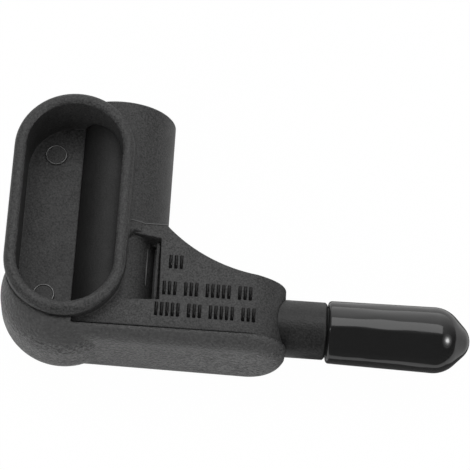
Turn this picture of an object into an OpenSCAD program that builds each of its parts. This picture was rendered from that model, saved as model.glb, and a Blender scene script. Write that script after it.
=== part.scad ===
// Magnetic test probe: an angled magnetic tip on a finger grip with a shrouded 4 mm socket.
// It lies on its back: +X runs along the arm to the tip, +Y up the socket, +Z out of the grip.
// The origin is on the socket's axis at the mouth of the contact.

/* [Socket] */
// Outside diameter of the barrel round the socket
barrel_d = 17.5; // [16.5:0.1:21]
// Distance from the contact's mouth up to the barrel's mouth
mouth_above_contact = 4.8; // [3:0.05:6]
// Distance from the contact's mouth down to the arm's axis
arm_drop = 28.6; // [26:0.1:36]
// Outside diameter of the insulating tube
insulator_d = 11.4; // [10.6:0.1:12.4]
// Bore that takes the plug's shroud
shroud_bore_d = 8.2; // [7.8:0.05:8.6]
// Outside diameter of the contact sleeve
contact_d = 6; // [5.4:0.1:6.4]
// Bore of the contact for the plug's pin
contact_bore_d = 4.04; // [3.9:0.02:4.3]
// Depth of the contact's bore
contact_bore_depth = 18.4; // [15:0.1:19]

/* [Grip] */
// Distance from the socket's axis to the middle of the grip
grip_offset = 6.8; // [6:0.1:7.4]
// Radius of the rim's centre line round each end of the grip
rim_r = 8.4; // [7.8:0.05:9.2]
// Radius of the rim's bead
bead_r = 1.11; // [0.9:0.01:1.3]
// Height of the lower end's centre above the arm's axis
grip_low = 5.55; // [5:0.05:6.5]
// Distance between the centres of the grip's two ends
grip_run = 18.57; // [14:0.01:22.3]
// Depth from the middle plane to the rim's crest
grip_half_depth = 10.56; // [9.5:0.02:12.8]
// Thickness of the web across the middle of the grip
web_t = 1.8; // [1.4:0.1:2.6]
// Wall of the grip
grip_wall = 1.65; // [1.3:0.05:2]

/* [Arm] */
// Thickness of the arm, front to back
arm_t = 14.2; // [13:0.1:16]
// Distance from the socket's axis to the end of the arm
arm_reach = 28; // [26:0.1:34.2]
// Radius of the end's corners, seen from above
arm_corner_r = 6.4; // [5:0.1:6.5]
// Height of the arm's end above its axis
arm_top = 5.7; // [5.4:0.05:7]
// Height of the collar under the barrel above the arm's axis
collar_top = 13.2; // [12.4:0.1:15]
// Radius of the hollow curve from the collar to the end
sweep_r = 25.4; // [20:0.1:28]
// Depth of the joint with the base cover below the arm's axis
joint_drop = 4.4; // [4.2:0.05:5]

/* [Latch windows] */
// Height of a window's lower edge above the arm's axis
window_low = 0.3; // [0.2:0.1:1]
// Height of a window's upper edge above the arm's axis
window_high = 11.6; // [10:0.1:11.8]
// Distance from the socket's axis to a window's far edge
window_reach = 8.1; // [7.9:0.1:8.6]
// Thickness of the cover's snap tongues
tongue_t = 0.45; // [0.4:0.05:0.6]

/* [Base cover] */
// Half width of the cover at the joint
cover_half_w = 8; // [7.7:0.05:9.6]
// Depth of the cover's sole below the arm's axis, at the socket's axis
cover_drop = 6.12; // [6:0.01:7.5]
// Fall of the sole towards the tip, in degrees
sole_fall = 0.75; // [0:0.05:1.5]
// Radius of the cover's lower edges
cover_edge_r = 3.5; // [2.6:0.1:4.2]
// Radius of the cover's corners, seen from above
cover_corner_r = 5.9; // [5:0.1:7.5]
// Radius of the heel that wraps the grip's lower end
heel_r = 10.05; // [9.8:0.05:12.1]
// Height of the heel's centre above the arm's axis
heel_rise = 2.28; // [1.9:0.02:3]
// Radius of the heel's edges
heel_edge_r = 7.9; // [6.5:0.1:8]
// Half width of the heel's flat crown
heel_crown = 1.65; // [1.5:0.05:2.5]
// Wall of the cover
cover_wall = 1.1; // [0.9:0.05:1.3]

/* [Tip] */
// Diameter of the neck sleeve
neck_d = 9.04; // [7.5:0.02:9.8]
// Length of the neck sleeve outside the arm
neck_len = 6.5; // [5:0.1:8]
// Depth of the neck's seat in the arm's end
neck_seat = 1.6; // [1.2:0.1:1.8]
// Diameter of the tip inside the cap
tip_d = 7.4; // [6.6:0.1:7.8]
// Length of the tip past the neck
tip_len = 18.5; // [15:0.1:22]
// Diameter of the magnet
magnet_d = 6; // [5:0.1:6.2]
// Length of the magnet
magnet_len = 6.5; // [4:0.1:7]
// Diameter of the studs
stud_d = 3; // [2.6:0.1:3.2]

/* [Protective cap] */
// Diameter of the cap at its open end
cap_mouth_d = 9.85; // [9.2:0.05:11]
// Diameter of the cap at its widest
cap_d = 10.4; // [10:0.05:12]
// Overall length of the cap
cap_len = 22.54; // [20:0.02:27]
// Gap between the neck and the cap
cap_gap = 0.2; // [0.1:0.1:1]

/* [Hidden] */
$fn = 96;
eps = 0.05;
// Clearances between parts pushed together, round a stud, and round a thread or a press fit
fit = 0.05;
loose = 0.1;
tight = 0.02;
// Bevel along the arm's upper edges and the barrel's mouth
bevel = 0.2;
// Height and depth of the shadow gap over the base cover
gap_h = 0.45;
gap_depth = 0.6;
barrel_r = barrel_d / 2;
barrel_top = mouth_above_contact;
axis_y = -arm_drop;
low_y = axis_y + grip_low;
high_y = low_y + grip_run;
collar_y = axis_y + collar_top;
joint_y = axis_y - joint_drop;
cover_y = axis_y - cover_drop;
rim_z = grip_half_depth - bead_r;
wall_out = rim_r + grip_wall / 2;
wall_in = rim_r - grip_wall / 2;
rim_foot = rim_z - bead_r - 0.1;
// Where the grip's wall meets the arm, and how far the arm reaches into the grip
grip_edge = wall_out - grip_offset;
root_x = 1.7 - grip_offset;
half_arm = arm_t / 2;
sweep_x = arm_reach - 1.4;
// Marks that the ejector pins leave in the grip's pockets
mark_r = 1.6;
mark_x = -grip_offset - 3.3;
mark_h = 0.15;
// The cover's lower edge: height of its arc's centre, and its distance from the middle plane
edge_y = cover_y + cover_edge_r;
edge_z = cover_half_w - sqrt(pow(cover_edge_r, 2) - pow(max(0, edge_y - joint_y + fit), 2));
cover_end = arm_reach + 0.1;
toe_x = cover_end - cover_corner_r;
toe_z = cover_half_w - cover_corner_r;
heel_x = 0.12 - grip_offset;
heel_y = axis_y + heel_rise;
heel_end = low_y + 6;
// Wall left round the insulator inside the arm, where it comes out at the arm's faces
core_r = norm([half_arm, grip_edge]);
insulator_r = insulator_d / 2;
insulator_top = barrel_top - 0.2;
insulator_foot = axis_y - 2.4;
flange_r = insulator_r + 1.5;
flange_t = 1.2;
shroud_depth = 25;
floor_top = barrel_top - shroud_depth;
floor_t = 2;
floor_under = floor_top - floor_t;
contact_flange_t = 1.2;
contact_lip = 0.4;
// The contact's spring sits in a groove of its bore
spring_low = -10;
spring_high = -7;
spring_groove = 0.25;
stack_r = 4.6;
window_floor = 3.8;
slot_floor = 3;
slot_w = 1.2;
tongue_x = 7.2;
tongue_z = 5.9;
tongue_top = axis_y + window_high - 1.1;
washer_t = 0.5;
lug_t = 0.8;
lug_r = 3.1;
lug_half_w = 1.6;
crimp_len = 3.6;
crimp_r = 1.3;
tip_crimp_r = 1.1;
nut_t = 2.4;
nut_af = 5.5;
stud_past_nut = 1;
// The cavity for the link wire and for the nut at the tip's stud
cavity_top = axis_y + 3.6;
cavity_half = 4.9;
channel_half = 2.2;
end_wall = 3.2;
end_x = arm_reach - end_wall;
wire_d = 2;
core_d = 1.2;
wire_y = cover_y + cover_wall + wire_d / 2 + 0.1;
wire_x = 7.2;
bend_r = 2.4;
neck_back = arm_reach - neck_seat;
neck_x = arm_reach + neck_len;
neck_chamfer = 0.3;
seal_r = 0.4;
seal_ring_r = neck_d / 2 - 1.62;
tip_x = neck_x + tip_len;
stud_in_holder = 6.4;
pole_len = 3;
magnet_proud = 0.2;
cap_x = neck_x + cap_gap;
tip_core_d = tip_d - 1;
// The cap's shoulder arc, its distance from the end, and the nose arc
shoulder_r = 4.7;
shoulder_back = 5.74;
nose_r = 3.3;

// A cylinder or a cone along +Y from y0 to y1
module y_rod(r, y0, y1, r_end = undef) {
    translate([0, y0, 0]) rotate([-90, 0, 0])
        cylinder(h = y1 - y0, r1 = r, r2 = is_undef(r_end) ? r : r_end);
}

// A cylinder along +X from x0 to x1
module x_rod(r, x0, x1, y = axis_y) {
    translate([x0, y, 0]) rotate([0, 90, 0]) cylinder(h = x1 - x0, r = r);
}

// A box given by its two corners
module block(low, high) {
    translate(low) cube(high - low);
}

// What stands on the front, and its mirror image on the back
module both_faces() {
    children();
    mirror([0, 0, 1]) children();
}

// The grip's oblong outline grown to radius r, as a slab between two depths
module oblong(r, z0, z1) {
    translate([-grip_offset, 0, z0]) {
        for (y = [low_y, high_y]) translate([0, y, 0]) cylinder(h = z1 - z0, r = r);
        translate([-r, low_y, 0]) cube([2 * r, grip_run, z1 - z0]);
    }
}

// The bead along one rim of the grip
module rim_bead(z) {
    translate([-grip_offset, 0, z]) {
        translate([0, high_y, 0]) rotate_extrude(angle = 180) translate([rim_r, 0]) circle(r = bead_r);
        translate([0, low_y, 0]) rotate([0, 0, 180])
            rotate_extrude(angle = 180) translate([rim_r, 0]) circle(r = bead_r);
        for (x = [-rim_r, rim_r]) translate([x, low_y, 0]) rotate([-90, 0, 0])
            cylinder(h = grip_run, r = bead_r);
    }
}

// The pocket on one side of the web, round the ejector marks
module grip_pocket() {
    difference() {
        oblong(wall_in, web_t / 2, grip_half_depth + 1);
        for (y = [low_y - 3, high_y + 2.63])
            translate([mark_x, y, web_t / 2 - eps]) cylinder(h = mark_h + eps, r = mark_r);
    }
}

// The arm's outline from above, set in by a distance, between two heights
module arm_plan(inset, y0, y1) {
    corner = arm_corner_r - inset;
    flat = half_arm - arm_corner_r;
    reach = arm_reach - inset;
    for (z = [-flat, flat]) translate([reach - corner, 0, z]) y_rod(corner, y0, y1);
    block([root_x, y0, inset - half_arm], [reach - corner, y1, half_arm - inset]);
    block([root_x, y0, -flat], [reach, y1, flat]);
}

// The arm, swept down from the collar in one hollow curve
module arm_body() {
    sweep_y = axis_y + arm_top + sweep_r;
    difference() {
        union() {
            arm_plan(0, joint_y + gap_h, collar_y);
            arm_plan(gap_depth, joint_y, joint_y + gap_h + eps);
        }
        translate([sweep_x, sweep_y, -half_arm - 1]) cylinder(h = arm_t + 2, r = sweep_r);
        block([sweep_x, axis_y + arm_top, -half_arm - 1], [arm_reach + 1, collar_y + 1, half_arm + 1]);
        both_faces() {
            translate([sweep_x, sweep_y, half_arm - bevel])
                cylinder(h = 2 * bevel, r1 = sweep_r, r2 = sweep_r + 2 * bevel);
            translate([0, collar_y, half_arm]) rotate([0, 90, 0])
                cylinder(h = arm_reach / 2, r = bevel, $fn = 4);
        }
    }
}

// The latch window on one face, cored out round the socket's wall, and the tongue's slot
module latch_window() {
    far = window_reach;
    difference() {
        union() {
            translate([0, axis_y, window_floor]) linear_extrude(half_arm)
                polygon([[grip_edge, window_low], [far, window_low + 0.3], [far - 0.3, window_high - 0.7],
                         [grip_edge, window_high]]);
            block([tongue_x - loose - slot_w, axis_y + window_low + 0.4, slot_floor],
                  [tongue_x - loose, axis_y + window_high - 0.8, window_floor + eps]);
        }
        y_rod(core_r, joint_y, collar_y);
    }
    block([tongue_x - loose, joint_y - 1, window_floor],
          [tongue_x + tongue_t + loose, axis_y + window_low + 1, tongue_z + loose]);
}

module main_housing() {
    color("#3c3d3e") difference() {
        union() {
            y_rod(barrel_r, collar_y - eps, barrel_top - bevel);
            y_rod(barrel_r, barrel_top - bevel, barrel_top, barrel_r - bevel);
            oblong(wall_out, -rim_z, rim_z);
            for (z = [-rim_z, rim_z]) rim_bead(z);
            arm_body();
        }
        both_faces() {
            grip_pocket();
            latch_window();
        }
        y_rod(insulator_r + fit, insulator_foot, barrel_top + 1);
        y_rod(flange_r + fit, barrel_top - flange_t, barrel_top + 1);
        y_rod(stack_r, joint_y - 1, insulator_foot + 1);
        block([window_reach + 1.3, joint_y - 1, -cavity_half], [end_x, cavity_top, cavity_half]);
        block([0, joint_y - 1, -channel_half], [window_reach + 2, floor_under - loose, channel_half]);
        x_rod(stud_d / 2 + loose, end_x - 1, arm_reach + 1);
        x_rod(neck_d / 2 + fit, neck_back, arm_reach + 1);
    }
}

// Half of the cover's section from a distance off the middle plane: a flat sole and a round edge
module cover_section(inset, from = 0) {
    translate([-from, 0]) intersection() {
        union() {
            translate([0, cover_y + inset]) square([edge_z, 12]);
            translate([edge_z, edge_y]) circle(r = cover_edge_r - inset);
            translate([0, edge_y]) square([edge_z + cover_edge_r - inset, 12]);
        }
        translate([from, cover_y - 1]) square([20, 12]);
    }
}

// The cover's form along the arm and round its end, set in by a wall, on its falling sole
module cover_form(inset, x0) {
    translate([0, cover_y, 0]) rotate([0, 0, -sole_fall]) translate([0, -cover_y, 0]) {
        translate([x0, 0, 0]) rotate([0, 90, 0]) linear_extrude(toe_x - x0) {
            cover_section(inset);
            mirror([1, 0]) cover_section(inset);
        }
        both_faces() translate([toe_x, 0, toe_z]) rotate([-90, 0, 0]) rotate([0, 0, -90])
            rotate_extrude(angle = 90) cover_section(inset, toe_z);
        translate([toe_x, 0, -toe_z]) linear_extrude(2 * toe_z) cover_section(inset, toe_z);
    }
}

// The heel: a round-edged wheel on its side
module heel() {
    half = heel_crown + heel_edge_r;
    translate([heel_x, heel_y, 0]) rotate_extrude() intersection() {
        union() {
            translate([0, -heel_crown]) square([heel_r, 2 * heel_crown]);
            translate([0, -half]) square([heel_r - heel_edge_r, 2 * half]);
            for (y = [-heel_crown, heel_crown]) translate([heel_r - heel_edge_r, y]) circle(r = heel_edge_r);
        }
        translate([0, -half]) square([heel_r, 2 * half]);
    }
}

module base_cover() {
    under = heel_y - heel_r - 1;
    color("#474849") difference() {
        union() {
            intersection() {
                cover_form(0, heel_x);
                block([heel_x, under, -12], [arm_reach + 2, joint_y - fit, 12]);
            }
            intersection() {
                heel();
                union() {
                    block([-30, under, -12], [root_x - fit, heel_end, 12]);
                    block([root_x - 1, under, -12], [10, joint_y - fit, 12]);
                }
            }
            both_faces() block([tongue_x, joint_y - 1, window_floor + loose],
                               [tongue_x + tongue_t, tongue_top, tongue_z]);
        }
        difference() {
            intersection() {
                cover_form(cover_wall, heel_x + 1);
                block([-10, under, -6.2], [end_x, joint_y + 1, 6.2]);
            }
            both_faces() block([tongue_x - 1, under, window_floor - 0.6],
                               [tongue_x + tongue_t + 1, joint_y + 2, 8]);
        }
        x_rod(neck_d / 2 + fit, neck_back - fit, arm_reach + 2);
        oblong(wall_out + fit, -rim_foot - 0.1, rim_foot + 0.1);
        both_faces() oblong(rim_r + bead_r + 0.1, rim_foot, 12);
    }
}

module socket_insulator() {
    color("#2b2b2c") difference() {
        union() {
            y_rod(insulator_r, insulator_foot + fit, insulator_top);
            y_rod(flange_r, barrel_top - flange_t + fit, insulator_top);
        }
        y_rod(shroud_bore_d / 2, floor_top, barrel_top);
        y_rod(stack_r - 0.3, insulator_foot - 1, floor_under);
        y_rod(stud_d / 2 + loose, floor_under - 1, floor_top + 1);
        block([0, insulator_foot - 1, -2.5], [insulator_r + 1, floor_under - 2 * loose, 2.5]);
    }
}

module socket_contact() {
    bore_r = contact_bore_d / 2;
    color("#c9a24a") difference() {
        union() {
            y_rod(shroud_bore_d / 2 - 2 * loose, floor_top, floor_top + contact_flange_t);
            y_rod(contact_d / 2, floor_top + contact_flange_t - eps, contact_lip);
            y_rod(stud_d / 2, floor_under - washer_t - lug_t - nut_t - stud_past_nut, floor_top + eps);
        }
        y_rod(bore_r, -contact_bore_depth, contact_lip + 1);
        y_rod(bore_r, 0, contact_lip + 0.01, bore_r + contact_lip);
        y_rod(bore_r + spring_groove, spring_low, spring_high);
    }
}

module contact_spring() {
    color("#d8d2c0") difference() {
        y_rod(contact_bore_d / 2 + spring_groove - 0.03, spring_low + loose, spring_high - loose);
        y_rod(contact_bore_d / 2 + tight, spring_low - 1, spring_high + 1);
        block([0, spring_low - 1, -0.3], [4, spring_high + 1, 0.3]);
    }
}

module socket_washer() {
    color("silver") difference() {
        y_rod(lug_r + 0.3, floor_under - washer_t, floor_under);
        y_rod(stud_d / 2 + loose, floor_under - 2, floor_under + 1);
    }
}

module socket_lug() {
    top = floor_under - washer_t;
    color("silver") difference() {
        union() {
            y_rod(lug_r, top - lug_t, top);
            block([0, top - lug_t, -lug_half_w], [wire_x + crimp_r, top, lug_half_w]);
            translate([wire_x, 0, 0]) y_rod(crimp_r, top - lug_t - crimp_len, top - lug_t + eps);
        }
        y_rod(stud_d / 2 + loose, top - 3, top + 1);
        translate([wire_x, 0, 0]) y_rod(core_d / 2, top - lug_t - crimp_len - 1, top - lug_t);
    }
}

// A hexagon nut along +Z
module hex_nut() {
    difference() {
        cylinder(h = nut_t, d = nut_af / cos(30), $fn = 6);
        translate([0, 0, -1]) cylinder(h = nut_t + 2, r = stud_d / 2 + tight);
    }
}

module socket_nut() {
    color("silver") translate([0, floor_under - washer_t - lug_t - nut_t, 0]) rotate([-90, 0, 0]) hex_nut();
}

// The link wire's route: down beside the socket, round a bend and along to the tip
module wire_route(r, top, end) {
    translate([wire_x, 0, 0]) y_rod(r, wire_y + bend_r, top);
    translate([wire_x + bend_r, wire_y + bend_r, 0]) rotate([0, 0, 180])
        rotate_extrude(angle = 90) translate([bend_r, 0]) circle(r = r);
    x_rod(r, wire_x + bend_r, end, wire_y);
}

module wire_core() {
    color("#b87333") wire_route(core_d / 2 - 0.01, floor_under - washer_t - lug_t, end_x - washer_t - lug_t);
}

module wire_sheath() {
    bare = washer_t + lug_t + crimp_len + 0.2;
    color("#a02020") difference() {
        wire_route(wire_d / 2, floor_under - bare, end_x - bare);
        wire_route(core_d / 2, floor_under - bare + 1, end_x - bare + 1);
    }
}

module tip_lug() {
    face = end_x - washer_t;
    color("silver") difference() {
        union() {
            x_rod(lug_r, face - lug_t, face);
            block([face - lug_t, wire_y - tip_crimp_r, -lug_half_w], [face, axis_y, lug_half_w]);
            x_rod(tip_crimp_r, face - lug_t - crimp_len, face - lug_t + eps, wire_y);
        }
        x_rod(stud_d / 2 + loose, face - 3, face + 1);
        x_rod(core_d / 2, face - lug_t - crimp_len - 1, face - lug_t, wire_y);
    }
}

module tip_washer() {
    color("silver") difference() {
        x_rod(lug_r - 0.3, end_x - washer_t, end_x);
        x_rod(stud_d / 2 + loose, end_x - 2, end_x + 1);
    }
}

module tip_nut() {
    color("silver") translate([end_x - washer_t - lug_t - nut_t, axis_y, 0]) rotate([0, 90, 0]) hex_nut();
}

module tip_stud() {
    color("#c9a24a")
        x_rod(stud_d / 2, end_x - washer_t - lug_t - nut_t - stud_past_nut, neck_x + stud_in_holder);
}

module neck_sleeve() {
    r = neck_d / 2;
    color("#343536") difference() {
        union() {
            x_rod(r, neck_back, neck_x - neck_chamfer);
            translate([neck_x - neck_chamfer, axis_y, 0]) rotate([0, 90, 0])
                cylinder(h = neck_chamfer, r1 = r, r2 = r - neck_chamfer);
        }
        x_rod(stud_d / 2 + loose, neck_back - 1, neck_x + 1);
        x_rod(seal_ring_r + seal_r + 0.3, neck_back - 1, neck_back + 2 * seal_r);
    }
}

module neck_seal() {
    color("black") translate([neck_back + seal_r, axis_y, 0]) rotate([0, 90, 0])
        rotate_extrude() translate([seal_ring_r, 0]) circle(r = seal_r);
}

module tip_holder() {
    color("#b9bcbf") difference() {
        union() {
            x_rod(tip_core_d / 2, neck_x, tip_x - pole_len);
            x_rod(tip_d / 2, tip_x - pole_len - eps, tip_x);
        }
        x_rod(stud_d / 2 + tight, neck_x - 1, neck_x + stud_in_holder + 0.2);
        x_rod(magnet_d / 2 + tight, tip_x - magnet_len + magnet_proud, tip_x + 1);
    }
}

module tip_sleeve() {
    color("#2d2e2f") difference() {
        x_rod(tip_d / 2, neck_x, tip_x - pole_len - eps);
        x_rod(tip_core_d / 2 + tight, neck_x - 1, tip_x);
    }
}

module tip_magnet() {
    color("#c8ccd0") x_rod(magnet_d / 2, tip_x - magnet_len + magnet_proud, tip_x + magnet_proud);
}

// Half outline of the cap: a slow flare, a shoulder and a blunt nose that one line joins
module cap_profile() {
    mouth_r = cap_mouth_d / 2;
    wide_r = cap_d / 2;
    shoulder = [wide_r - shoulder_r, cap_len - shoulder_back];
    nose = [0, cap_len - nose_r];
    d = norm(shoulder - nose);
    turn = atan2(nose[1] - shoulder[1], nose[0] - shoulder[0]) - acos((shoulder_r - nose_r) / d);
    out = [cos(turn), sin(turn)];
    intersection() {
        union() {
            translate(shoulder) circle(r = shoulder_r);
            translate(nose) circle(r = nose_r);
            polygon([[0, 0], [mouth_r, 0], [wide_r, shoulder[1]], shoulder + shoulder_r * out,
                     nose + nose_r * out, nose]);
        }
        square([cap_d, cap_len + 1]);
    }
}

module protective_cap() {
    color("#1b1b1c") difference() {
        translate([cap_x, axis_y, 0]) rotate([0, 90, 0]) rotate_extrude() cap_profile();
        x_rod(tip_d / 2 + fit, cap_x - 1, tip_x + magnet_proud + 0.4);
    }
}

main_housing();
base_cover();
socket_insulator();
socket_contact();
contact_spring();
socket_washer();
socket_lug();
socket_nut();
wire_core();
wire_sheath();
tip_lug();
tip_washer();
tip_nut();
tip_stud();
neck_sleeve();
neck_seal();
tip_holder();
tip_sleeve();
tip_magnet();
protective_cap();
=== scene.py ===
import logging
import math
from collections.abc import Iterable
from dataclasses import dataclass
from enum import Enum

import bmesh
import bpy
from mathutils import Matrix, Vector


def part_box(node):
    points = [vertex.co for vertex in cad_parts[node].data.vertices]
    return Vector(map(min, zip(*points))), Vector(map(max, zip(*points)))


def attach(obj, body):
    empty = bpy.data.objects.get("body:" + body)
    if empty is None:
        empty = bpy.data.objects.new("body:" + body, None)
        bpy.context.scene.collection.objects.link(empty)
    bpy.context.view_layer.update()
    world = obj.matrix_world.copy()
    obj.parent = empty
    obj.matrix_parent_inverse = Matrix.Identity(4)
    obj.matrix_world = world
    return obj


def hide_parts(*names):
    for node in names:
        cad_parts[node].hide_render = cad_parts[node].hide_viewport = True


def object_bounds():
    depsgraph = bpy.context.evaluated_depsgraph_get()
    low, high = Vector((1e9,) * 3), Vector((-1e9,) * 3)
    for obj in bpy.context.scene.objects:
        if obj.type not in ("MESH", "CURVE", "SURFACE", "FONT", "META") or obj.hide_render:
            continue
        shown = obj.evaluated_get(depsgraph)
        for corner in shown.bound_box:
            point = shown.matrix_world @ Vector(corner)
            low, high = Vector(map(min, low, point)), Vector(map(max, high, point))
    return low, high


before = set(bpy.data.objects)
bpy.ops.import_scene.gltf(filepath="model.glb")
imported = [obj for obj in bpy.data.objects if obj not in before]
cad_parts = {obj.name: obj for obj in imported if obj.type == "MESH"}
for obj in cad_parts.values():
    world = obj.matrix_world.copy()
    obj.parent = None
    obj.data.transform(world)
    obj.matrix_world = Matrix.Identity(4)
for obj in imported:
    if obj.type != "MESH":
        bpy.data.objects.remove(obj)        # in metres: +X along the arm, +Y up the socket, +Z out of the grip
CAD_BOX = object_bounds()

LOG = logging.getLogger("probe")
MM = 0.001
Triple = tuple[float, float, float]
Colour = Triple
Node = bpy.types.Node
Socket = bpy.types.NodeSocket
Row = list[bmesh.types.BMVert]


def grey(level: float) -> Colour:
    """A neutral linear colour."""
    return (level, level, level)


class Texture(Enum):
    """Spark-eroded textures of a mould, as grain size and depth in millimetres."""

    FINE = (0.26, 0.045)
    COARSE = (0.4, 0.22)
    SATIN = (0.2, 0.02)


class Graph:
    """A short hand for wiring one shader node tree."""

    def __init__(self, tree: bpy.types.NodeTree) -> None:
        """Takes the tree and empties it."""
        self.tree = tree
        tree.nodes.clear()

    def add(self, kind: str, label: str = "", **values: object) -> Node:
        """Adds a node.

        Args:
            kind: the node's type name.
            label: a maker's word for what it does.
            values: its settings, by attribute name.

        Returns:
            The new node.
        """
        node = self.tree.nodes.new(kind)
        node.label = label
        for name, value in values.items():
            setattr(node, name, value)
        return node

    def join(self, source: object, target: Socket) -> None:
        """Feeds a socket.

        Args:
            source: a socket to wire it to, or a plain value to set it to.
            target: the socket that is fed.
        """
        if isinstance(source, Socket):
            self.tree.links.new(source, target)
        else:
            target.default_value = source

    def end(self, shader: Socket, kind: str = "ShaderNodeOutputMaterial") -> None:
        """Ends the tree in its shader."""
        self.join(shader, self.add(kind).inputs["Surface"])

    def coords(self) -> Socket:
        """Adds the coordinates that stay with the piece."""
        return self.add("ShaderNodeTexCoord").outputs["Object"]

    def calc(self, operation: str, first: object, second: object, clamp: bool = False) -> Socket:
        """Adds a Math node fed by sockets or plain numbers.

        Args:
            operation: the Math node's operation.
            first: a socket or a number.
            second: a socket or a number.
            clamp: whether the result stays between 0 and 1.

        Returns:
            The result's socket.
        """
        node = self.add("ShaderNodeMath", operation=operation, use_clamp=clamp)
        self.join(first, node.inputs[0])
        self.join(second, node.inputs[1])
        return node.outputs[0]

    def noise(self, place: Socket, scale: object, detail: float, rough: float = 0.5) -> Socket:
        """Adds a noise between 0 and 1.

        Args:
            place: the coordinates that it reads.
            scale: cells per metre, as a socket or a number.
            detail: octaves.
            rough: how much the small octaves count.

        Returns:
            The noise's socket.
        """
        node = self.add("ShaderNodeTexNoise")
        self.join(scale, node.inputs["Scale"])
        self.join(detail, node.inputs["Detail"])
        self.join(rough, node.inputs["Roughness"])
        self.join(place, node.inputs["Vector"])
        return node.outputs["Fac"]

    def centred(self, noise: Socket) -> Socket:
        """Shifts a noise so that it runs either side of zero."""
        return self.calc("SUBTRACT", noise, 0.5)

    def stretched(self, place: Socket, scale: Triple, turn: Triple = (0.0, 0.0, 0.0)) -> Socket:
        """Adds coordinates that are turned and drawn out.

        Args:
            place: the coordinates that it starts from.
            scale: a factor for each axis, where less than 1 draws out.
            turn: the turn about each axis, in radians.

        Returns:
            The new coordinates' socket.
        """
        node = self.add("ShaderNodeMapping")
        self.join(turn, node.inputs["Rotation"])
        self.join(scale, node.inputs["Scale"])
        self.join(place, node.inputs["Vector"])
        return node.outputs["Vector"]

    def ramp(self, value: Socket, zero_at: float, one_at: float) -> Socket:
        """Adds a straight ramp that is held between 0 and 1.

        Args:
            value: what the ramp reads.
            zero_at: where it is 0.
            one_at: where it is 1.

        Returns:
            The ramp's socket.
        """
        node = self.add("ShaderNodeMapRange")
        self.join(zero_at, node.inputs["From Min"])
        self.join(one_at, node.inputs["From Max"])
        self.join(value, node.inputs["Value"])
        return node.outputs["Result"]

    def bump(self, label: str, depth: float, height: Socket, normal: Socket | None = None) -> Socket:
        """Adds a bump.

        Args:
            label: a maker's word for what it does.
            depth: how deep a height of 1 is, in millimetres.
            height: the height's socket.
            normal: the normal that it starts from, if it isn't the surface's own.

        Returns:
            The new normal's socket.
        """
        node = self.add("ShaderNodeBump", label=label)
        self.join(depth * MM, node.inputs["Distance"])
        self.join(height, node.inputs["Height"])
        if normal is not None:
            self.join(normal, node.inputs["Normal"])
        return node.outputs["Normal"]


class EffectGroup:
    """A shared effect as a node group with named inputs and outputs, built once."""

    NAME = ""
    INPUTS: dict[str, float] = {}
    OUTPUTS: tuple[str, ...] = ()

    @classmethod
    def tree(cls) -> bpy.types.NodeTree:
        """Gives the group's tree, built at its first use.

        Returns:
            The tree.
        """
        found = bpy.data.node_groups.get(cls.NAME)
        if found:
            return found
        made = bpy.data.node_groups.new(cls.NAME, "ShaderNodeTree")
        graph = Graph(made)
        for name, value in cls.INPUTS.items():
            socket = made.interface.new_socket(name=name, in_out="INPUT", socket_type="NodeSocketFloat")
            socket.default_value = value
        for name in cls.OUTPUTS:
            made.interface.new_socket(name=name, in_out="OUTPUT", socket_type="NodeSocketFloat")
        cls.wire(graph, graph.add("NodeGroupInput"), graph.add("NodeGroupOutput"))
        return made

    @classmethod
    def wire(cls, graph: Graph, given: Node, result: Node) -> None:
        """Wires the group's own nodes. Each effect fills this in."""
        raise NotImplementedError

    @classmethod
    def place(cls, graph: Graph, **values: float) -> Node:
        """Places the group in a material.

        Args:
            graph: the material's graph.
            values: the inputs that differ from the defaults.

        Returns:
            The group node.
        """
        node = graph.add("ShaderNodeGroup", label=cls.NAME, node_tree=cls.tree())
        for name, value in values.items():
            node.inputs[name].default_value = value
        return node


class Grain(EffectGroup):
    """The texture that an eroded mould leaves: a fine height, and a slow drift of tone and gloss."""

    NAME = "mould_grain"
    INPUTS = {"Cells": 6000.0, "Drift": 0.3, "Speckle": 0.3}
    OUTPUTS = ("Height", "Tone", "Gloss")
    CRATER_CELLS = 0.7
    CRATER_BLUR = 0.6
    CRATER_DEPTH = 0.45
    DRIFT_SCALE = 260.0
    GLOSS_SCALE = 420.0
    DARKEST = 0.15

    @classmethod
    def wire(cls, graph: Graph, given: Node, result: Node) -> None:
        """Pits and craters for the height, and slow noises for tone and gloss.

        Args:
            graph: the group's graph.
            given: its input node.
            result: its output node.
        """
        place, cells = graph.coords(), given.outputs["Cells"]
        pits = graph.noise(place, cells, detail=2.0, rough=0.6)
        craters = graph.add("ShaderNodeTexVoronoi", feature="SMOOTH_F1")
        graph.join(cls.CRATER_BLUR, craters.inputs["Smoothness"])
        graph.join(place, craters.inputs["Vector"])
        graph.join(graph.calc("MULTIPLY", cells, cls.CRATER_CELLS), craters.inputs["Scale"])
        hollows = graph.calc("MULTIPLY", craters.outputs["Distance"], cls.CRATER_DEPTH)
        graph.join(graph.calc("ADD", pits, hollows), result.inputs["Height"])
        slow = graph.centred(graph.noise(place, cls.DRIFT_SCALE, detail=3.0))
        drift = graph.calc("MULTIPLY", slow, given.outputs["Drift"])
        speckle = graph.calc("MULTIPLY", graph.centred(pits), given.outputs["Speckle"])
        tone = graph.calc("ADD", graph.calc("ADD", drift, speckle), 1.0)
        graph.join(graph.calc("MAXIMUM", tone, cls.DARKEST), result.inputs["Tone"])
        patches = graph.noise(place, cls.GLOSS_SCALE, detail=2.0)
        graph.join(graph.centred(patches), result.inputs["Gloss"])


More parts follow.
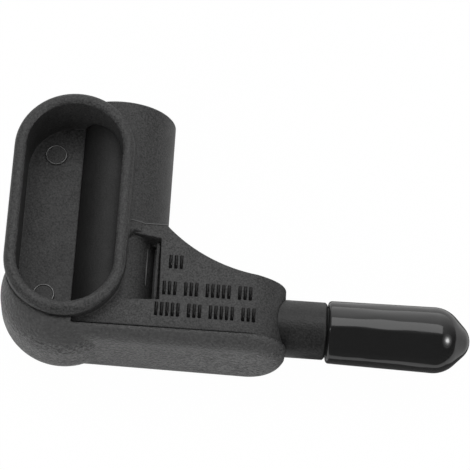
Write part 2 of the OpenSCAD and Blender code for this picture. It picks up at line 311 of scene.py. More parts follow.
class Handling(EffectGroup):
    """What hands leave on plastic: rubbed edges and a few fine scuffs."""

    NAME = "handling"
    INPUTS = {"Edge": 0.0, "Scuffs": 0.3}
    OUTPUTS = ("Wear",)
    BREAKUP_SCALE = 900.0
    SCUFF_TURN = (0.4, 0.2, 0.9)
    SCUFF_STRETCH = (240.0, 3200.0, 900.0)
    SCUFF_FROM = 0.69
    SCUFF_FULL = 0.78

    @classmethod
    def wire(cls, graph: Graph, given: Node, result: Node) -> None:
        """Breaks the edge mask with noise, and adds long thin scratches.

        Args:
            graph: the group's graph.
            given: its input node.
            result: its output node.
        """
        place = graph.coords()
        breakup = graph.noise(place, cls.BREAKUP_SCALE, detail=3.0, rough=0.6)
        worn = graph.calc("MULTIPLY", given.outputs["Edge"], breakup)
        drawn = graph.stretched(place, cls.SCUFF_STRETCH, cls.SCUFF_TURN)
        lines = graph.noise(drawn, scale=1.0, detail=2.0)
        thin = graph.ramp(lines, cls.SCUFF_FROM, cls.SCUFF_FULL)
        scuffs = graph.calc("MULTIPLY", thin, given.outputs["Scuffs"])
        graph.join(graph.calc("ADD", worn, scuffs, clamp=True), result.inputs["Wear"])


@dataclass(frozen=True)
class Finish:
    """What every finish has: a name, a colour and a roughness."""

    name: str
    colour: Colour
    roughness: float

    def material(self) -> bpy.types.Material:
        """Gives the finish as a material, built at its first use.

        Returns:
            The material.
        """
        found = bpy.data.materials.get(self.name)
        if found:
            return found
        made = bpy.data.materials.new(self.name)
        made.use_nodes = True
        made.diffuse_color = (*self.colour, 1.0)
        graph = Graph(made.node_tree)
        shader = graph.add("ShaderNodeBsdfPrincipled", label=self.name)
        graph.join((*self.colour, 1.0), shader.inputs["Base Color"])
        graph.join(self.roughness, shader.inputs["Roughness"])
        graph.end(shader.outputs["BSDF"])
        self.dress(graph, shader)
        return made

    def dress(self, graph: Graph, shader: Node) -> None:
        """Adds the finish's own detail. Each kind fills this in."""
        raise NotImplementedError

    def tint(self, graph: Graph, factor: Socket, shader: Node) -> None:
        """Multiplies the base colour by a factor that wanders over the surface.

        Args:
            graph: the material's graph.
            factor: the factor's socket.
            shader: the Principled shader.
        """
        scaled = graph.add("ShaderNodeVectorMath", operation="SCALE")
        graph.join(self.colour, scaled.inputs[0])
        graph.join(factor, scaled.inputs["Scale"])
        graph.join(scaled.outputs["Vector"], shader.inputs["Base Color"])

    def shine(self, graph: Graph, change: Socket, shader: Node) -> None:
        """Adds a change that wanders over the surface to the roughness."""
        graph.join(graph.calc("ADD", change, self.roughness, clamp=True), shader.inputs["Roughness"])


@dataclass(frozen=True)
class Moulded(Finish):
    """Moulded plastic with a spark-eroded grain and slightly rounded edges.

    With sole_z, in millimetres either side of the middle, only the sole between has the full speckle.
    sole_fade says how far past it the speckle is calm, and where it starts to calm.
    """

    texture: Texture = Texture.FINE
    edge: float = 0.3
    drift: float = 0.35
    speckle: float = 3.0
    scuffs: float = 0.25
    specular: float = 0.3
    sole_z: float = 0.0
    sole_rag: float = 0.8
    rag_scale: float = 900.0
    sole_fade: tuple[float, float] = (0.6, 0.1)
    side_speckle: float = 0.25
    side_tone: float = 0.98
    sole_lift: float = 0.1
    bevel_samples: int = 6
    edge_gain: float = 4.0
    rub_lift: float = 0.6
    rub_gloss: float = -0.08
    gloss_spread: float = 0.16

    def banded(self, graph: Graph, tone: Socket) -> Socket:
        """Keeps the full speckle to the sole, and calms and darkens the rest.

        Args:
            graph: the material's graph.
            tone: the grain's tone.

        Returns:
            The tone of both zones.
        """
        place = graph.coords()
        split = graph.add("ShaderNodeSeparateXYZ")
        graph.join(place, split.inputs["Vector"])
        ragged = graph.noise(place, self.rag_scale, detail=2.0)
        ragged = graph.calc("MULTIPLY", ragged, self.sole_rag * MM)
        out = graph.calc("ADD", graph.calc("ABSOLUTE", split.outputs["Z"], 0.0), ragged)
        zero_at, one_at = ((self.sole_z + fade) * MM for fade in self.sole_fade)
        zone = graph.ramp(out, zero_at, one_at)
        share = graph.calc("MULTIPLY", zone, 1.0 - self.side_speckle)
        share = graph.calc("ADD", share, self.side_speckle)
        speckled = graph.calc("MULTIPLY", graph.calc("SUBTRACT", tone, 1.0), share)
        base = graph.calc("ADD", graph.calc("MULTIPLY", zone, self.sole_lift), self.side_tone)
        return graph.calc("ADD", speckled, base)

    def bent(self, graph: Graph, rounded: Socket) -> Socket:
        """Finds the edges, where the rounded normal leans from the flat one.

        Args:
            graph: the material's graph.
            rounded: the softened edge's normal.

        Returns:
            A mask, 1 on a sharp edge.
        """
        flat = graph.add("ShaderNodeNewGeometry")
        turn = graph.add("ShaderNodeVectorMath", operation="DOT_PRODUCT")
        graph.join(rounded, turn.inputs[0])
        graph.join(flat.outputs["Normal"], turn.inputs[1])
        lean = graph.calc("SUBTRACT", 1.0, turn.outputs["Value"])
        return graph.calc("MULTIPLY", lean, self.edge_gain, clamp=True)

    def dress(self, graph: Graph, shader: Node) -> None:
        """Grain on a softened edge, a drift of tone and gloss, and rubbed edges.

        Args:
            graph: the material's graph.
            shader: its Principled shader.
        """
        graph.join(self.specular, shader.inputs["Specular IOR Level"])
        size, depth = self.texture.value
        grain = Grain.place(graph, Cells=1.0 / (size * MM), Drift=self.drift, Speckle=self.speckle)
        soft = graph.add("ShaderNodeBevel", label="moulded edge", samples=self.bevel_samples)
        graph.join(self.edge * MM, soft.inputs["Radius"])
        rounded = soft.outputs["Normal"]
        bumped = graph.bump("grain", depth, grain.outputs["Height"], rounded)
        graph.join(bumped, shader.inputs["Normal"])
        wear = Handling.place(graph, Scuffs=self.scuffs)
        graph.join(self.bent(graph, rounded), wear.inputs["Edge"])
        tone = grain.outputs["Tone"]
        if self.sole_z:
            tone = self.banded(graph, tone)
        rubbed = graph.calc("MULTIPLY", wear.outputs["Wear"], self.rub_lift)
        self.tint(graph, graph.calc("ADD", tone, rubbed), shader)
        gloss = graph.calc("MULTIPLY", grain.outputs["Gloss"], self.gloss_spread)
        worn = graph.calc("MULTIPLY", wear.outputs["Wear"], self.rub_gloss)
        self.shine(graph, graph.calc("ADD", gloss, worn), shader)


@dataclass(frozen=True)
class DippedVinyl(Finish):
    """Glossy dip-moulded vinyl: slow waves in the skin, and faint dust. Depths in millimetres."""

    ior: float = 1.53
    dip_stretch: Triple = (0.55, 1.0, 1.0)
    wave: float = 0.28
    wave_scale: float = 230.0
    peel: float = 0.0012
    peel_scale: float = 1500.0
    dust_cells: float = 2500.0
    dust_drift: float = 0.2
    haze: float = 0.12

    def dress(self, graph: Graph, shader: Node) -> None:
        """Long waves along the dip, small orange peel, and a little dust in the gloss.

        Args:
            graph: the material's graph.
            shader: its Principled shader.
        """
        graph.join(self.ior, shader.inputs["IOR"])
        place = graph.coords()
        drawn = graph.stretched(place, self.dip_stretch)
        waves = graph.noise(drawn, self.wave_scale, detail=1.5, rough=0.4)
        wavy = graph.bump("waves", self.wave, waves)
        peel = graph.noise(place, self.peel_scale, detail=1.0)
        graph.join(graph.bump("orange peel", self.peel, peel, wavy), shader.inputs["Normal"])
        grain = Grain.place(graph, Cells=self.dust_cells, Drift=self.dust_drift)
        self.tint(graph, grain.outputs["Tone"], shader)
        self.shine(graph, graph.calc("MULTIPLY", grain.outputs["Gloss"], self.haze), shader)


@dataclass(frozen=True)
class Turned(Finish):
    """Plated or bare metal turned on a lathe. Depths in millimetres."""

    lines: float = 9000.0
    line_stretch: Triple = (1.0, 1.0, 0.04)
    line_depth: float = 0.001
    tone_cells: float = 3000.0
    tone_drift: float = 0.15
    uneven: float = 0.2

    def dress(self, graph: Graph, shader: Node) -> None:
        """Fine tool lines, and a drift of tone and gloss.

        Args:
            graph: the material's graph.
            shader: its Principled shader.
        """
        graph.join(1.0, shader.inputs["Metallic"])
        drawn = graph.stretched(graph.coords(), self.line_stretch)
        lines = graph.noise(drawn, self.lines, detail=1.0)
        graph.join(graph.bump("tool lines", self.line_depth, lines), shader.inputs["Normal"])
        grain = Grain.place(graph, Cells=self.tone_cells, Drift=self.tone_drift)
        self.tint(graph, grain.outputs["Tone"], shader)
        self.shine(graph, graph.calc("MULTIPLY", grain.outputs["Gloss"], self.uneven), shader)


HOUSING = Moulded("housing_plastic", grey(0.03), 0.5, speckle=3.6)
COVER = Moulded("cover_plastic", grey(0.046), 0.45, Texture.COARSE, edge=0.8, speckle=5.0,
                specular=0.36, sole_z=4.6)
INSULATOR = Moulded("insulator_plastic", grey(0.015), 0.5, Texture.SATIN, edge=0.2, speckle=2.0,
                    specular=0.22)
SLEEVE = Moulded("sleeve_plastic", grey(0.014), 0.42, Texture.FINE, edge=0.25)
PIN_MARK = Moulded("pin_mark", grey(0.05), 0.25, Texture.SATIN, edge=0.03, speckle=0.6,
                   scuffs=0.0, specular=0.9)
POLISHED = Moulded("polished_marks", grey(0.004), 0.25, Texture.SATIN, edge=0.06, speckle=0.3,
                   scuffs=0.0, specular=0.15)
# A lighter grey that paints the highlight on thin edges and ridges.
PAINTED_HIGHLIGHT = Moulded("painted_highlight_edge", grey(0.09), 0.35, Texture.SATIN, edge=0.05, speckle=0.6, scuffs=0.0)
SEAL = Moulded("seal_rubber", grey(0.015), 0.7, Texture.SATIN, edge=0.05, scuffs=0.0)
SHEATH = Moulded("wire_insulation", (0.3, 0.02, 0.02), 0.4, Texture.SATIN, edge=0.05, scuffs=0.0)
VINYL = DippedVinyl("cap_vinyl", grey(0.0085), 0.1)
BRASS = Turned("contact_brass", (0.75, 0.56, 0.26), 0.25)
COPPER = Turned("wire_copper", (0.8, 0.42, 0.26), 0.35)
STEEL = Turned("plated_steel", (0.58, 0.58, 0.6), 0.28)
MAGNET = Turned("magnet_nickel", (0.7, 0.7, 0.71), 0.16)

NODE_FINISHES: dict[str, Finish] = {
    "main_housing": HOUSING, "base_cover": COVER, "socket_insulator": INSULATOR,
    "socket_contact": BRASS, "contact_spring": BRASS, "socket_washer": STEEL,
    "socket_lug": STEEL, "socket_nut": STEEL, "wire_core": COPPER, "wire_sheath": SHEATH,
    "tip_lug": STEEL, "tip_washer": STEEL, "tip_nut": STEEL, "tip_stud": BRASS,
    "neck_sleeve": SLEEVE, "neck_seal": SEAL, "tip_holder": STEEL, "tip_sleeve": SLEEVE,
    "tip_magnet": MAGNET,
}


def arc(centre: Vector, radius: float, start: float, end: float, steps: int) -> list[Vector]:
    """Points along an arc, in degrees from +X towards +Y, both ends in."""
    angles = [math.radians(start + (end - start) * step / steps) for step in range(steps + 1)]
    return [centre + radius * Vector((math.cos(a), math.sin(a))) for a in angles]


class Skin:
    """A mesh in the making, from points in millimetres."""

    def __init__(self, name: str) -> None:
        """Starts an empty mesh."""
        self.name = name
        self.shape = bmesh.new()

    def row(self, points: Iterable[Vector]) -> Row:
        """Adds a row of points."""
        return [self.shape.verts.new(point * MM) for point in points]

    def band(self, first: Row, second: Row, flat_back: bool = False) -> None:
        """Joins two closed rows with smooth faces.

        Args:
            first: a row, or a single point that all the faces meet in.
            second: a row of as many points, or a single point.
            flat_back: whether the face that closes the rows stays flat.
        """
        count = max(len(first), len(second))
        for index in range(count if count > 1 else 0):
            after = (index + 1) % count
            corners = (first[index % len(first)], first[after % len(first)],
                       second[after % len(second)], second[index % len(second)])
            face = self.shape.faces.new(tuple(dict.fromkeys(corners)))
            face.smooth = not (flat_back and after == 0)

    def sweep(self, rows: list[Row], flat_back: bool = False) -> None:
        """Joins rows into a tube with a flat face at each end.

        Args:
            rows: the closed rows, in order.
            flat_back: whether the faces that close the rows stay flat.
        """
        for first, second in zip(rows, rows[1:]):
            self.band(first, second, flat_back)
        self.shape.faces.new(rows[0])
        self.shape.faces.new(rows[-1])

    def hoop(self, rows: list[Row]) -> None:
        """Joins rows into a ring, the last one to the first."""
        for first, second in zip(rows, rows[1:] + rows[:1]):
            self.band(first, second)

    def set_down(self, verts: Row, middle: Vector, turn: Matrix) -> None:
        """Turns some of the points and sets them round a middle."""
        place = Matrix.Translation(middle * MM) @ turn
        bmesh.ops.transform(self.shape, matrix=place, verts=verts)

    def mesh(self) -> bpy.types.Mesh:
        """Turns all faces outward and ends the work.

        Returns:
            The mesh, in metres.
        """
        bmesh.ops.recalc_face_normals(self.shape, faces=self.shape.faces)
        made = bpy.data.meshes.new(self.name)
        self.shape.to_mesh(made)
        self.shape.free()
        return made


def new_piece(mesh: bpy.types.Mesh, finish: Finish, body: str) -> bpy.types.Object:
    """Adds a modelled piece to the probe, under its mesh's name.

    Args:
        mesh: its mesh, in the row frame.
        finish: what it is made of.
        body: the CAD body that it rides on.

    Returns:
        The piece's object.
    """
    piece = bpy.data.objects.new(mesh.name, mesh)
    bpy.context.scene.collection.objects.link(piece)
    mesh.materials.append(finish.material())
    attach(piece, body)
    return piece


def arm_axis_y() -> float:
    """The height of the arm's axis, in millimetres."""
    low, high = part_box("tip_stud")
    return (low.y + high.y) / (2 * MM)


@dataclass
class ProtectiveCap:
    """The dip-moulded cap over the tip, with a rolled lip and a blunt nose. Sizes in millimetres."""

    mouth_d: float = 9.85
    widest_d: float = 10.4
    bore_d: float = 7.5
    lip_r: float = 0.56
    shoulder_r: float = 4.7
    shoulder_back: float = 5.74
    nose_r: float = 3.3
    nose_wall: float = 3.0
    bore_chamfer: float = 0.3
    bore_clear: float = 0.3
    end_clear: float = 0.4
    sag_mouth: float = 0.1
    sag_nose: float = 0.24
    flank_steps: int = 24
    steps: int = 192

    def outline(self, length: float) -> list[Vector]:
        """Draws the closed half section, from the nose round the mouth and up the bore.

        Args:
            length: the cap's length.

        Returns:
            Points of distance along the axis and radius.
        """
        mouth_r, widest_r, bore_r = self.mouth_d / 2, self.widest_d / 2, self.bore_d / 2
        shoulder = Vector((length - self.shoulder_back, widest_r - self.shoulder_r))
        nose = Vector((length - self.nose_r, 0.0))
        apart = nose - shoulder
        slope = math.degrees(math.atan2(apart.y, apart.x))
        slope += math.degrees(math.acos((self.shoulder_r - self.nose_r) / apart.length))
        points = arc(nose, self.nose_r, 0.0, slope, steps=24)
        points += arc(shoulder, self.shoulder_r, slope, 90.0, steps=16)
        for step in range(self.flank_steps - 1, 2, -1):
            radius = mouth_r + (widest_r - mouth_r) * step / self.flank_steps
            points.append(Vector((shoulder.x * step / self.flank_steps, radius)))
        points += arc(Vector((self.lip_r, mouth_r - self.lip_r)), self.lip_r, 90.0, 180.0, steps=10)
        points += arc(Vector((self.lip_r, bore_r + self.lip_r)), self.lip_r, 180.0, 270.0, steps=6)
        bore_end = length - self.nose_wall
        points.append(Vector((bore_end, bore_r)))
        points.append(Vector((bore_end + self.bore_chamfer, bore_r - self.bore_chamfer)))
        points.append(Vector((bore_end + self.bore_chamfer, 0.0)))
        return points

    def shell(self, length: float, start: Vector) -> bpy.types.Mesh:
        """Turns the half section round the tip's axis.

        Args:
            length: the cap's length.
            start: the middle of the cap's mouth.

        Returns:
            The straight cap's mesh.
        """
        skin = Skin("dipped_cap")
        turns = [2 * math.pi * step / self.steps for step in range(self.steps)]
        rows = []
        for along, radius in self.outline(length):
            row = [start + Vector((along, radius * math.cos(turn), radius * math.sin(turn)))
                   for turn in (turns if radius > 1e-6 else (0.0,))]
            rows.append(skin.row(row))
        skin.hoop(rows)
        return skin.mesh()

    def build(self) -> list[bpy.types.Object]:
        """Builds the cap where its CAD node is, sagging a little, and stands for it.

        Returns:
            The cap.
        """
        low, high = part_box("protective_cap")
        middle = (low + high) / (2 * MM)
        length = (high.x - low.x) / MM
        start = Vector((low.x / MM, middle.y, middle.z))
        mesh = self.shell(length, start)
        for vert in mesh.vertices:
            along, out_y, out_z = vert.co / MM - start
            outside = math.hypot(out_y, out_z) > self.bore_d / 2 + self.bore_clear
            if outside or along > length - self.nose_wall + self.end_clear:
                vert.co.y -= (self.sag_mouth + (self.sag_nose - self.sag_mouth) * along / length) * MM
        piece = new_piece(mesh, VINYL, "cap")
        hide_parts("protective_cap")
        return [piece]


@dataclass
class RaisedTicks:
    """Rows of short polished ticks raised on the arm's front face. In millimetres.

    Each row has its left end, its middle height above the arm's axis, and its ticks and gaps.
    """

    height: float = 0.14
    sunk: float = 0.2
    tick_w: float = 0.5
    tick_h: float = 2.25
    pitch: float = 0.84
    face_z: float = 7.1
    chamfer: float = 0.06
    rows: tuple[tuple[float, float, str], ...] = (
        (9.5, 7.05, "iii"), (8.75, 2.6, "iii iii iiiii iii"), (7.75, -0.95, "iiiii iii iiiii iii"))

    def build(self) -> list[bpy.types.Object]:
        """Builds all the ticks as one piece.

        Returns:
            The ticks.
        """
        skin = Skin("arm_ticks")
        axis_y = arm_axis_y()
        size = Vector((self.tick_w, self.tick_h, self.height + self.sunk))
        middle_z = self.face_z + (self.height - self.sunk) / 2
        for left, up, marks in self.rows:
            for index, mark in enumerate(marks):
                if mark == " ":
                    continue
                middle = Vector((left + index * self.pitch, axis_y + up, middle_z))
                grown = bmesh.ops.create_cube(skin.shape, size=1.0)
                skin.set_down(grown["verts"], middle, Matrix.Diagonal((*(size * MM), 1.0)))
        bmesh.ops.bevel(skin.shape, geom=skin.shape.edges[:], offset=self.chamfer * MM, segments=2,
                        affect="EDGES")
        for face in skin.shape.faces:
            face.smooth = True
        return [new_piece(skin.mesh(), POLISHED, "root")]


@dataclass
class PartingFlash:
    """The fine raised line that the mould's insert leaves in each latch window. In millimetres."""

    along_x: float = 5.78
    surface_z: float = 4.79
    low_y: float = -24.9
    high_y: float = -18.8
    radius: float = 0.1
    hook: float = 0.55

    def bead(self, skin: Skin, middle: Vector, axis: str, length: float) -> None:
        """Adds a straight stretch of the line.

        Args:
            skin: the mesh that it goes into.
            middle: its middle.
            axis: the axis that a standing stretch is turned about.
            length: its length.
        """
        grown = bmesh.ops.create_cone(skin.shape, cap_ends=True, segments=12, depth=length * MM,
                                      radius1=self.radius * MM, radius2=self.radius * MM)
        skin.set_down(grown["verts"], middle, Matrix.Rotation(math.pi / 2, 4, axis))

    def build(self) -> list[bpy.types.Object]:
        """Builds the line, with the hook at its upper end, on both faces as one piece, in a lighter colour
        that paints its highlight.

        Returns:
            The line.
        """
        skin = Skin("window_flash")
        for side in (1, -1):
            z = side * self.surface_z
            middle = Vector((self.along_x, (self.low_y + self.high_y) / 2, z))
            self.bead(skin, middle, "X", self.high_y - self.low_y)
            self.bead(skin, Vector((self.along_x - self.hook / 2, self.high_y, z)), "Y", self.hook)
        for face in skin.shape.faces:
            face.smooth = len(face.verts) == 4
        # The ridge is real; its lighter colour paints the highlight that it catches.
        return [new_piece(skin.mesh(), PAINTED_HIGHLIGHT, "root")]


@dataclass
class CollarFillet:
    """The blend from the barrel's lower edge out onto the arm's flat face. In millimetres."""

    barrel_r: float = 8.75
    face_z: float = 7.1
    collar_up: float = 13.2
    first_x: float = 1.9
    reach: float = 1.5
    fall: float = 0.3
    curve: tuple[float, ...] = (0.5, 0.8, 0.92)
    sunk: float = 0.3
    edge_under: float = 0.03
    foot_under: float = 0.02
    foot_lip: float = 0.01
    foot_back: float = 0.06
    socket_r: float = 7.5
    socket_under: float = 0.05
    corner_x: float = 3.7
    corner_run: float = 1.4
    line_r: float = 0.085
    line_end: float = 8.5
    steps: int = 24

    def last_x(self) -> float:
        """Where the barrel dips under the arm's face."""
        return math.sqrt(self.barrel_r ** 2 - self.face_z ** 2)

    def section(self, x: float, collar_y: float) -> list[tuple[float, float]]:
        """Draws the wedge's closed section.

        Args:
            x: where the section stands along the arm.
            collar_y: the collar's height.

        Returns:
            Points of height and distance from the middle.
        """
        edge_z = math.sqrt(self.barrel_r ** 2 - x ** 2)
        tucked_z = edge_z - self.edge_under
        foot = self.face_z - self.foot_under
        corner = max(0.0, self.corner_x - x) * self.corner_run
        if corner:
            last_z = math.sqrt(self.socket_r ** 2 - x ** 2) - self.socket_under
        else:
            last_z = max(edge_z - 2 * self.fall, foot - self.foot_lip)
        last_y = collar_y - self.reach - corner
        points = [(collar_y + self.sunk, tucked_z), (collar_y, tucked_z)]
        for part in self.curve:
            points.append((collar_y - self.reach * part, max(edge_z - self.fall * part, foot)))
        points.append((last_y, last_z))
        points.append((last_y - self.foot_back, last_z - self.sunk))
        points.append((collar_y + self.sunk, foot - 2 * self.sunk))
        return points

    def wedge(self, collar_y: float) -> bpy.types.Object:
        """Builds the crescent wedge on both faces.

        Args:
            collar_y: the collar's height.

        Returns:
            The wedges as one piece.
        """
        skin = Skin("collar_fillet")
        run = self.last_x() - self.first_x
        for side in (1, -1):
            rows = []
            for step in range(self.steps + 1):
                x = self.first_x + run * step / self.steps
                section = self.section(x, collar_y)
                rows.append(skin.row(Vector((x, y, side * z)) for y, z in section))
            skin.sweep(rows)
        return new_piece(skin.mesh(), HOUSING, "root")

    def line(self, collar_y: float) -> bpy.types.Object:
        """Builds the fine edge along the collar on both faces, in a lighter colour that paints its highlight.

        Args:
            collar_y: the collar's height.

        Returns:
            The edges as one piece.
        """
        skin = Skin("collar_edge")
        round_it = arc(Vector((0.0, -self.foot_under)), self.line_r, 0.0, 315.0, steps=7)
        count = 2 * self.steps
        for side in (1, -1):
            rows = []
            for step in range(count + 1):
                x = self.first_x + (self.line_end - self.first_x) * step / count
                z = math.sqrt(self.barrel_r ** 2 - x ** 2) if x < self.last_x() else self.face_z
                rows.append(skin.row(Vector((x, collar_y + p.x, side * (z + p.y))) for p in round_it))
            skin.sweep(rows)
        # The lighter colour paints the highlight that the rounded edge catches.
        return new_piece(skin.mesh(), PAINTED_HIGHLIGHT, "root")

    def build(self) -> list[bpy.types.Object]:
        """Builds the edge with its painted highlight, and the wedges below it.

        Returns:
            Both pieces.
        """
        collar_y = arm_axis_y() + self.collar_up
        return [self.line(collar_y), self.wedge(collar_y)]


@dataclass
class RimBulge:
    """The outer bulge of the rim's bead, carried on beside each latch window. In millimetres."""

    grip_x: float = -6.8
    rim_r: float = 8.4
    bead_r: float = 1.12
    end_r: float = 1.1
    bead_z: float = 9.45
    top_y: float = -16.0
    top_run: float = 1.0
    turn_y: float = -23.05
    last_turn: float = 24.0
    turn_steps: int = 8
    half_open: float = 46.0

    def path(self) -> list[tuple[Vector, Vector, float]]:
        """Follows the bead's middle line down and into the grip's lower round.

        Returns:
            Points, each with the outward direction and the bead's radius there.
        """
        outward = Vector((1.0, 0.0))
        straight_x = self.grip_x + self.rim_r
        points = [(Vector((straight_x, self.top_y)), outward, self.end_r),
                  (Vector((straight_x, self.top_y - self.top_run)), outward, self.bead_r)]
        for step in range(self.turn_steps + 1):
            part = step / self.turn_steps
            turn = math.radians(self.last_turn * part)
            outward = Vector((math.cos(turn), -math.sin(turn)))
            radius = self.bead_r + (self.end_r - self.bead_r) * part ** 2
            points.append((Vector((self.grip_x, self.turn_y)) + self.rim_r * outward, outward, radius))
        return points

    def build(self) -> list[bpy.types.Object]:
        """Builds the bulge on both faces as one piece.

        Returns:
            The bulge.
        """
        skin = Skin("rim_bulge")
        for side in (1, -1):
            rows = []
            for middle, outward, radius in self.path():
                row = []
                for point in arc(Vector((0.0, 0.0)), radius, -self.half_open, self.half_open, steps=20):
                    flat = middle + outward * point.x
                    row.append(Vector((flat.x, flat.y, side * (self.bead_z + point.y))))
                rows.append(skin.row(row))
            skin.sweep(rows, flat_back=True)
        return [new_piece(skin.mesh(), HOUSING, "root")]


@dataclass
class EjectorRings:
    """The sharp rim that an ejector pin leaves round each mark in the pockets. In millimetres."""

    across_x: float = -10.1
    heights: tuple[float, float] = (-26.05, -1.85)
    ring_r: float = 1.6
    bead_r: float = 0.18
    web_z: float = 1.02
    steps: int = 64

    def build(self) -> list[bpy.types.Object]:
        """Builds the four rims as one piece.

        Returns:
            The rims.
        """
        skin = Skin("ejector_rings")
        bead = arc(Vector((self.ring_r, 0.0)), self.bead_r, 0.0, 300.0, steps=5)
        for side in (1, -1):
            for height in self.heights:
                rows = []
                for step in range(self.steps):
                    turn = 2 * math.pi * step / self.steps
                    rows.append(skin.row(
                        Vector((self.across_x + p.x * math.cos(turn), height + p.x * math.sin(turn),
                                side * (self.web_z + p.y))) for p in bead))
                skin.hoop(rows)
        return [new_piece(skin.mesh(), PIN_MARK, "root")]


@dataclass
class CarriedNodes:
    """The CAD nodes that stay, dressed in their finishes."""

    finishes: dict[str, Finish]

    def build(self) -> list[bpy.types.Object]:
        """Gives each node its material.

        Returns:
            The nodes' objects.
        """
        for name, finish in self.finishes.items():
            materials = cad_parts[name].data.materials
            materials.clear()
            materials.append(finish.material())
        return [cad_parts[name] for name in self.finishes]


@dataclass(frozen=True)
class Lamp:
    """An area lamp that faces the probe. In metres, with a glow of 1 for white."""

    name: str
    towards: Triple
    away: float
    size: tuple[float, float]
    glow: float
    on_matt: bool = True
    in_gloss: bool = True

    def build(self) -> None:
        """Hangs the lamp, oblong, or round where it shows only in gloss."""
        data = bpy.data.lights.new(self.name, "AREA")
        data.shape = "RECTANGLE" if self.on_matt else "ELLIPSE"
        data.size, data.size_y = self.size
        data.energy = self.glow * math.pi * data.size * data.size_y
        lamp = bpy.data.objects.new(self.name, data)
        bpy.context.scene.collection.objects.link(lamp)
        towards = Vector(self.towards).normalized()
        lamp.location = towards * self.away
        lamp.rotation_mode = "QUATERNION"
        lamp.rotation_quaternion = towards.to_track_quat("Z", "Y")
        lamp.visible_camera = False
        lamp.visible_diffuse = self.on_matt
        lamp.visible_glossy = self.in_gloss


SOFTBOX_TILT = math.radians(19.0)
STROBE_SIDE = (0.775, -0.27, 0.57)
LAMPS = (
    Lamp("softbox", (0.0, math.sin(SOFTBOX_TILT), math.cos(SOFTBOX_TILT)), 0.7, (0.84, 0.47), 1.8),
    Lamp("near_fill", (-0.5, -0.75, 0.42), 1.1, (1.0, 0.8), 2.6, in_gloss=False),
    Lamp("side_strobe", STROBE_SIDE, 0.8, (0.17, 0.17), 7.0, on_matt=False),
    Lamp("strobe_rim", STROBE_SIDE, 0.81, (0.28, 0.28), 3.0, on_matt=False),
    Lamp("strobe_halo", STROBE_SIDE, 0.82, (0.42, 0.42), 0.9, on_matt=False),
    Lamp("strobe_haze", STROBE_SIDE, 0.83, (0.62, 0.62), 0.4, on_matt=False),
    Lamp("far_strobe", (-0.9, -0.1, 0.42), 0.8, (0.1, 0.1), 6.0, on_matt=False),
)


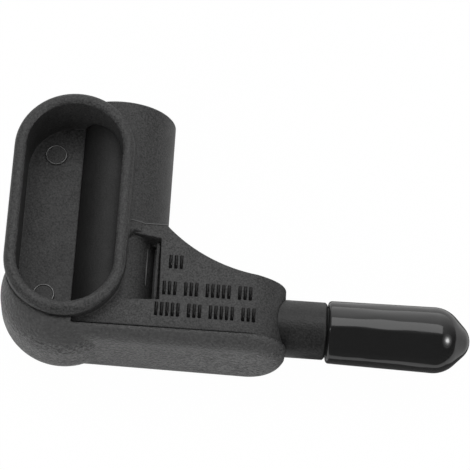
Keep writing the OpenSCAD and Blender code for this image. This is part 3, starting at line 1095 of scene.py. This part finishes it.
@dataclass
class Studio:
    """The table, the dark card, a dark strip of painted shadow under the cap, the lamps and the surround of
    the photograph. Sizes in metres.
    """

    lamps: tuple[Lamp, ...]
    table_size: float = 4.0
    table_drop: float = 0.02 * MM
    table_white: float = 0.985
    table_gloss: float = 0.25
    paper_grey: float = 0.86
    card_half_w: float = 1.6
    card_gap: float = 0.024
    card_lift: float = 0.0003
    card_grey: float = 0.13
    # The strip between these bounds is painted shadow: it darkens the table in gloss where the probe's shadow
    # falls.
    shadow_strip_near: float = -0.047
    shadow_strip_far: float = -0.012
    shadow_strip_ends: tuple[float, float] = (0.031, 0.066)
    surround: float = 0.75
    sky_low: float = 2.75
    sky_fall: float = 1.95
    sky_edge: float = 4.0
    sky_past: float = 0.4
    sky_ends: float = 1.3

    def sheet(self, name: str, corners: list[Triple]) -> tuple[bpy.types.Object, Graph]:
        """Lays a flat sheet with an empty material.

        Args:
            name: the sheet's name.
            corners: the four corners of each of its leaves.

        Returns:
            The sheet and its material's graph.
        """
        mesh = bpy.data.meshes.new(name)
        mesh.from_pydata(corners, [], [range(first, first + 4) for first in range(0, len(corners), 4)])
        made = bpy.data.objects.new(name, mesh)
        bpy.context.scene.collection.objects.link(made)
        material = bpy.data.materials.new(name)
        material.use_nodes = True
        mesh.materials.append(material)
        return made, Graph(material.node_tree)

    def mirrored(self, graph: Graph, seen: Node) -> Socket:
        """Adds a mask of what is seen in gloss or through glass."""
        return graph.calc("ADD", seen.outputs["Is Glossy Ray"], seen.outputs["Is Transmission Ray"])

    def table(self, height: float) -> None:
        """Lays a pale table that the camera sees as white, and gloss as pale with the probe's shadow.

        Args:
            height: where its top lies.
        """
        half = self.table_size / 2
        corners = [(-half, -half, height), (half, -half, height), (half, half, height),
                   (-half, half, height)]
        top, graph = self.sheet("table", corners)
        paper = graph.add("ShaderNodeBsdfDiffuse", label="paper")
        graph.join((*grey(self.paper_grey), 1.0), paper.inputs["Color"])
        white = graph.add("ShaderNodeEmission", label="white to the camera")
        seen = graph.add("ShaderNodeLightPath")
        gloss = graph.calc("MULTIPLY", self.mirrored(graph, seen), self.table_gloss)
        direct = graph.calc("MULTIPLY", seen.outputs["Is Camera Ray"], self.table_white)
        mix = graph.add("ShaderNodeMixShader")
        graph.join(graph.calc("ADD", direct, gloss, clamp=True), mix.inputs["Fac"])
        graph.join(paper.outputs["BSDF"], mix.inputs[1])
        graph.join(white.outputs["Emission"], mix.inputs[2])
        graph.end(mix.outputs["Shader"])

    def card(self, height: float) -> None:
        """Lays a dark card on the near side, and a dark strip of painted shadow under the cap, both seen only
        in gloss.

        Args:
            height: where the table's top lies.
        """
        # The first leaf is the dark card; the second is the strip of painted shadow under the cap.
        z, near, far = height + self.card_lift, CAD_BOX[0].y - self.card_gap, -self.table_size / 2
        wide, (left, right) = self.card_half_w, self.shadow_strip_ends
        card, graph = self.sheet("dark_card_and_shadow_strip", [
            (-wide, far, z), (wide, far, z), (wide, near, z), (-wide, near, z),
            (left, self.shadow_strip_near, z), (right, self.shadow_strip_near, z), (right, self.shadow_strip_far, z),
            (left, self.shadow_strip_far, z)])
        glow = graph.add("ShaderNodeEmission", label="dark card")
        graph.join(self.card_grey, glow.inputs["Strength"])
        graph.end(glow.outputs["Emission"])
        card.visible_camera = False
        card.visible_diffuse = False
        card.visible_shadow = False

    def sky(self, graph: Graph) -> Socket:
        """Draws the sky that gloss sees: it pales downwards, on the far side, and fades at both ends.

        Args:
            graph: the world's graph.

        Returns:
            The sky's glow.
        """
        way = graph.add("ShaderNodeSeparateXYZ")
        graph.join(graph.add("ShaderNodeTexCoord").outputs["Generated"], way.inputs["Vector"])
        fall = graph.calc("MULTIPLY", way.outputs["Z"], self.sky_fall)
        far_side = graph.calc("SUBTRACT", self.sky_low, fall)
        edge = graph.calc("MULTIPLY", way.outputs["Y"], self.sky_edge)
        edge = graph.calc("ADD", edge, self.sky_past, clamp=True)
        ends = graph.calc("MULTIPLY", graph.calc("ABSOLUTE", way.outputs["X"], 0.0), self.sky_ends)
        share = graph.calc("MULTIPLY", edge, graph.calc("SUBTRACT", self.sky_ends, ends, clamp=True))
        lift = graph.calc("MULTIPLY", graph.calc("SUBTRACT", far_side, self.card_grey), share)
        return graph.calc("ADD", lift, self.card_grey)

    def world(self) -> None:
        """Makes the surround: white to the camera, grey to matt surfaces, and the sky in gloss."""
        world = bpy.data.worlds.new("surround")
        bpy.context.scene.world = world
        world.use_nodes = True
        graph = Graph(world.node_tree)
        sky = graph.calc("SUBTRACT", self.sky(graph), self.surround)
        seen = graph.add("ShaderNodeLightPath")
        level = graph.calc("MULTIPLY", seen.outputs["Is Camera Ray"], 1.0 - self.surround)
        level = graph.calc("ADD", level, self.surround)
        gloss = graph.calc("MULTIPLY", self.mirrored(graph, seen), sky)
        back = graph.add("ShaderNodeBackground")
        graph.join(graph.calc("ADD", level, gloss), back.inputs["Strength"])
        graph.end(back.outputs["Background"], "ShaderNodeOutputWorld")

    def build(self) -> None:
        """Sets the surround, the table, the card and the lamps."""
        self.world()
        height = CAD_BOX[0].z - self.table_drop
        self.table(height)
        self.card(height)
        for lamp in self.lamps:
            lamp.build()


@dataclass
class PhotoCamera:
    """The photograph's camera, as fitted to the outline. Sizes in millimetres and degrees."""

    yaw: float = -1.441
    pitch: float = 22.884
    roll: float = 3.493
    away: float = 391.28
    focus_px: float = 2465.0
    frame_px: float = 470.0
    target: Triple = (20.0, -18.6, 0.0)
    target_right_px: float = 1.98
    target_down_px: float = 31.45
    sensor: float = 36.0
    clip: tuple[float, float] = (10.0, 20000.0)

    def build(self) -> None:
        """Makes the camera, frames its target as the photo does, and sets it as the scene's."""
        yaw, pitch, roll = (math.radians(a) for a in (self.yaw, self.pitch, self.roll))
        back = Vector((math.sin(yaw) * math.cos(pitch), -math.sin(pitch),
                       math.cos(yaw) * math.cos(pitch)))
        across = Vector((math.cos(yaw), 0.0, -math.sin(yaw)))
        upward = back.cross(across)
        right = across * math.cos(roll) + upward * math.sin(roll)
        up = upward * math.cos(roll) - across * math.sin(roll)
        eye = Vector(self.target) + back * self.away
        view = -back + (up * self.target_down_px - right * self.target_right_px) / self.focus_px
        view.normalize()
        right = (right - view * right.dot(view)).normalized()
        up = right.cross(view)
        data = bpy.data.cameras.new("photo_camera")
        data.sensor_width = self.sensor
        data.lens = self.focus_px * self.sensor / self.frame_px
        data.clip_start, data.clip_end = (distance * MM for distance in self.clip)
        camera = bpy.data.objects.new("photo_camera", data)
        bpy.context.scene.collection.objects.link(camera)
        turn = Matrix((right, up, -view)).transposed().to_4x4()
        camera.matrix_world = Matrix.Translation(eye * MM) @ turn
        bpy.context.scene.camera = camera


def main() -> None:
    """Builds the camera, the dressed nodes, the modelled pieces and the studio, in that order."""
    logging.basicConfig(level=logging.INFO, format="%(name)s: %(message)s")
    bpy.context.scene.view_settings.view_transform = "Standard"
    PhotoCamera().build()
    for maker in (CarriedNodes(NODE_FINISHES), ProtectiveCap(), RaisedTicks(), PartingFlash(),
                  CollarFillet(), RimBulge(), EjectorRings()):
        for piece in maker.build():
            LOG.info("built %s in %s", piece.name, piece.data.materials[0].name)
    Studio(LAMPS).build()


if __name__ == "__main__":
    main()
